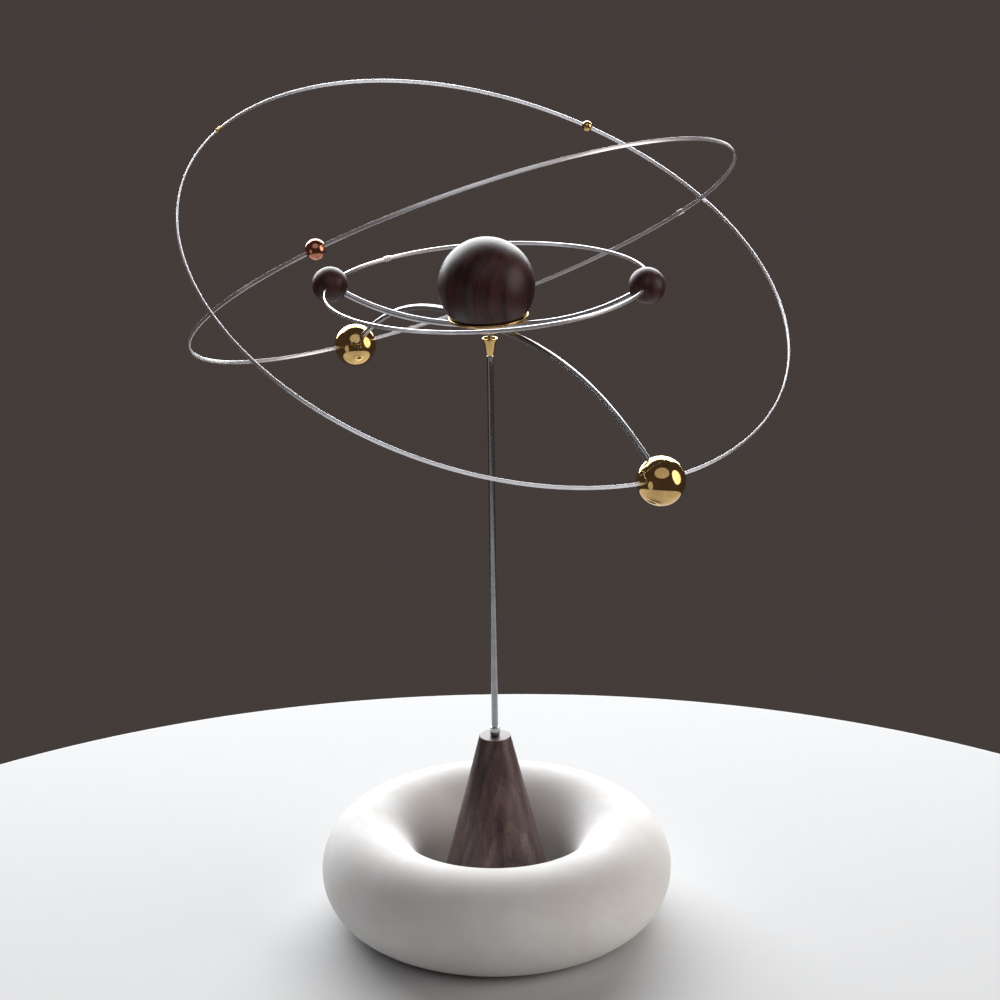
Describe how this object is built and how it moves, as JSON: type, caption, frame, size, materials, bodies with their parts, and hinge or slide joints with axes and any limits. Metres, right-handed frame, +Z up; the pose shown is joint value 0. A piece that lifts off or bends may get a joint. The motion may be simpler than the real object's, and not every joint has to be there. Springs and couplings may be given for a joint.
{
  "type": "orrery",
  "caption": "Desk orrery: a walnut sun with moons, brass weights and steel hoops balanced on a point above a rod, a wooden cone and a white ring base.",
  "frame": {"origin": "centre of the felt underside, on the axis of the rod", "axes": "+Z up along the rod; -Y is the side the near weight hangs on, +X to the right of it"},
  "size_m": [0.248, 0.2514, 0.355],
  "materials": {
    "plaster": "matte",
    "felt": "matte",
    "walnut": "satin",
    "steel": "polished",
    "brass": "polished",
    "copper": "polished"
  },
  "bodies": {
    "base": {"felt_pad": "felt", "base_ring": "plaster", "base_washer": "steel", "base_screw": "steel", "cone_insert": "brass", "cone": "walnut", "rod_ferrule": "steel", "rod": "steel", "bearing_cup": "brass"},
    "seat": {"pivot_seat": "steel"},
    "needle": {"needle": "steel"},
    "mobile": {"arm_moon_left": "steel", "arm_moon_right": "steel", "arm_weight_far": "steel", "arm_weight_near": "steel", "hub": "brass", "hub_screw_right": "steel", "hub_screw_left": "steel", "sun": "walnut", "hoop_small": "steel", "hoop_small_sleeve": "steel", "hoop_mid": "steel", "hoop_mid_sleeve": "steel", "hoop_large": "steel", "hoop_large_sleeve": "brass", "moon_left": "walnut", "moon_right": "walnut", "weight_far": "brass", "weight_far_grub_screw": "steel", "weight_near": "brass", "weight_near_grub_screw": "steel"},
    "copper_ball": {"copper_ball": "copper"},
    "brass_bead": {"brass_bead": "brass"}
  },
  "joints": [
    {"name": "rock_about_x", "type": "hinge", "parent": "base", "child": "seat", "pos_m": [0, 0, 0.2609], "axis": [1, 0, 0], "range_deg": [-12, 12]},
    {"name": "rock_about_y", "type": "hinge", "parent": "seat", "child": "needle", "pos_m": [0, 0, 0.2609], "axis": [0, 1, 0], "range_deg": [-12, 12]},
    {"name": "mobile_spin", "type": "hinge", "parent": "needle", "child": "mobile", "pos_m": [0, 0, 0.2609], "axis": [-0.0453, -0.0262, 0.9986], "continuous": true},
    {"name": "copper_ball_travel", "type": "hinge", "parent": "mobile", "child": "copper_ball", "pos_m": [-0.0104, 0.01727, 0.29278], "axis": [-0.3205, 0.4036, 0.8569], "range_deg": [-116, 147]},
    {"name": "brass_bead_travel", "type": "hinge", "parent": "mobile", "child": "brass_bead", "pos_m": [0.00021, -0.00533, 0.2929], "axis": [0.2739, -0.3831, 0.8821], "range_deg": [-120, 82]}
  ]
}
